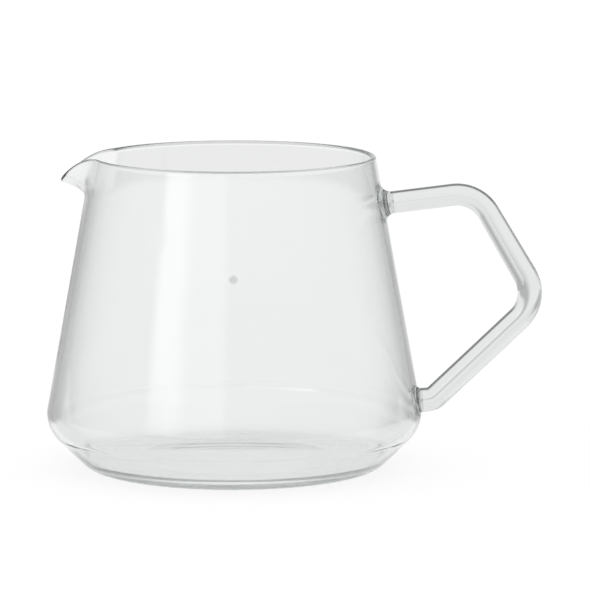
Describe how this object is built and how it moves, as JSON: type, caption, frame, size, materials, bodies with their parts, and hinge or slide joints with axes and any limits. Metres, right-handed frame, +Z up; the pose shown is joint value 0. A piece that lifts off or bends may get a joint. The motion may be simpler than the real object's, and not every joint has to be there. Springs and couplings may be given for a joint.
{
  "type": "coffee server carafe",
  "caption": "Clear glass coffee server with a low shouldered base, a conical wall, a drooping pouring lip and a bent glass rod handle fused to the wall.",
  "frame": {"origin": "centre of the foot's underside, on the surface that the carafe stands on", "axes": "+Z up along the axis of the vessel, +X towards the handle, -X towards the pouring lip"},
  "size_m": [0.1522, 0.115, 0.096],
  "materials": {
    "vessel_glass": "fire-polished clear glass",
    "rod_glass": "fire-polished clear glass rod",
    "mark_enamel": "fired grey enamel print"
  },
  "bodies": {
    "root": {"vessel": "vessel_glass", "handle": "rod_glass", "upper_weld": "rod_glass", "lower_weld": "rod_glass", "fill_mark": "mark_enamel"}
  },
  "joints": []
}
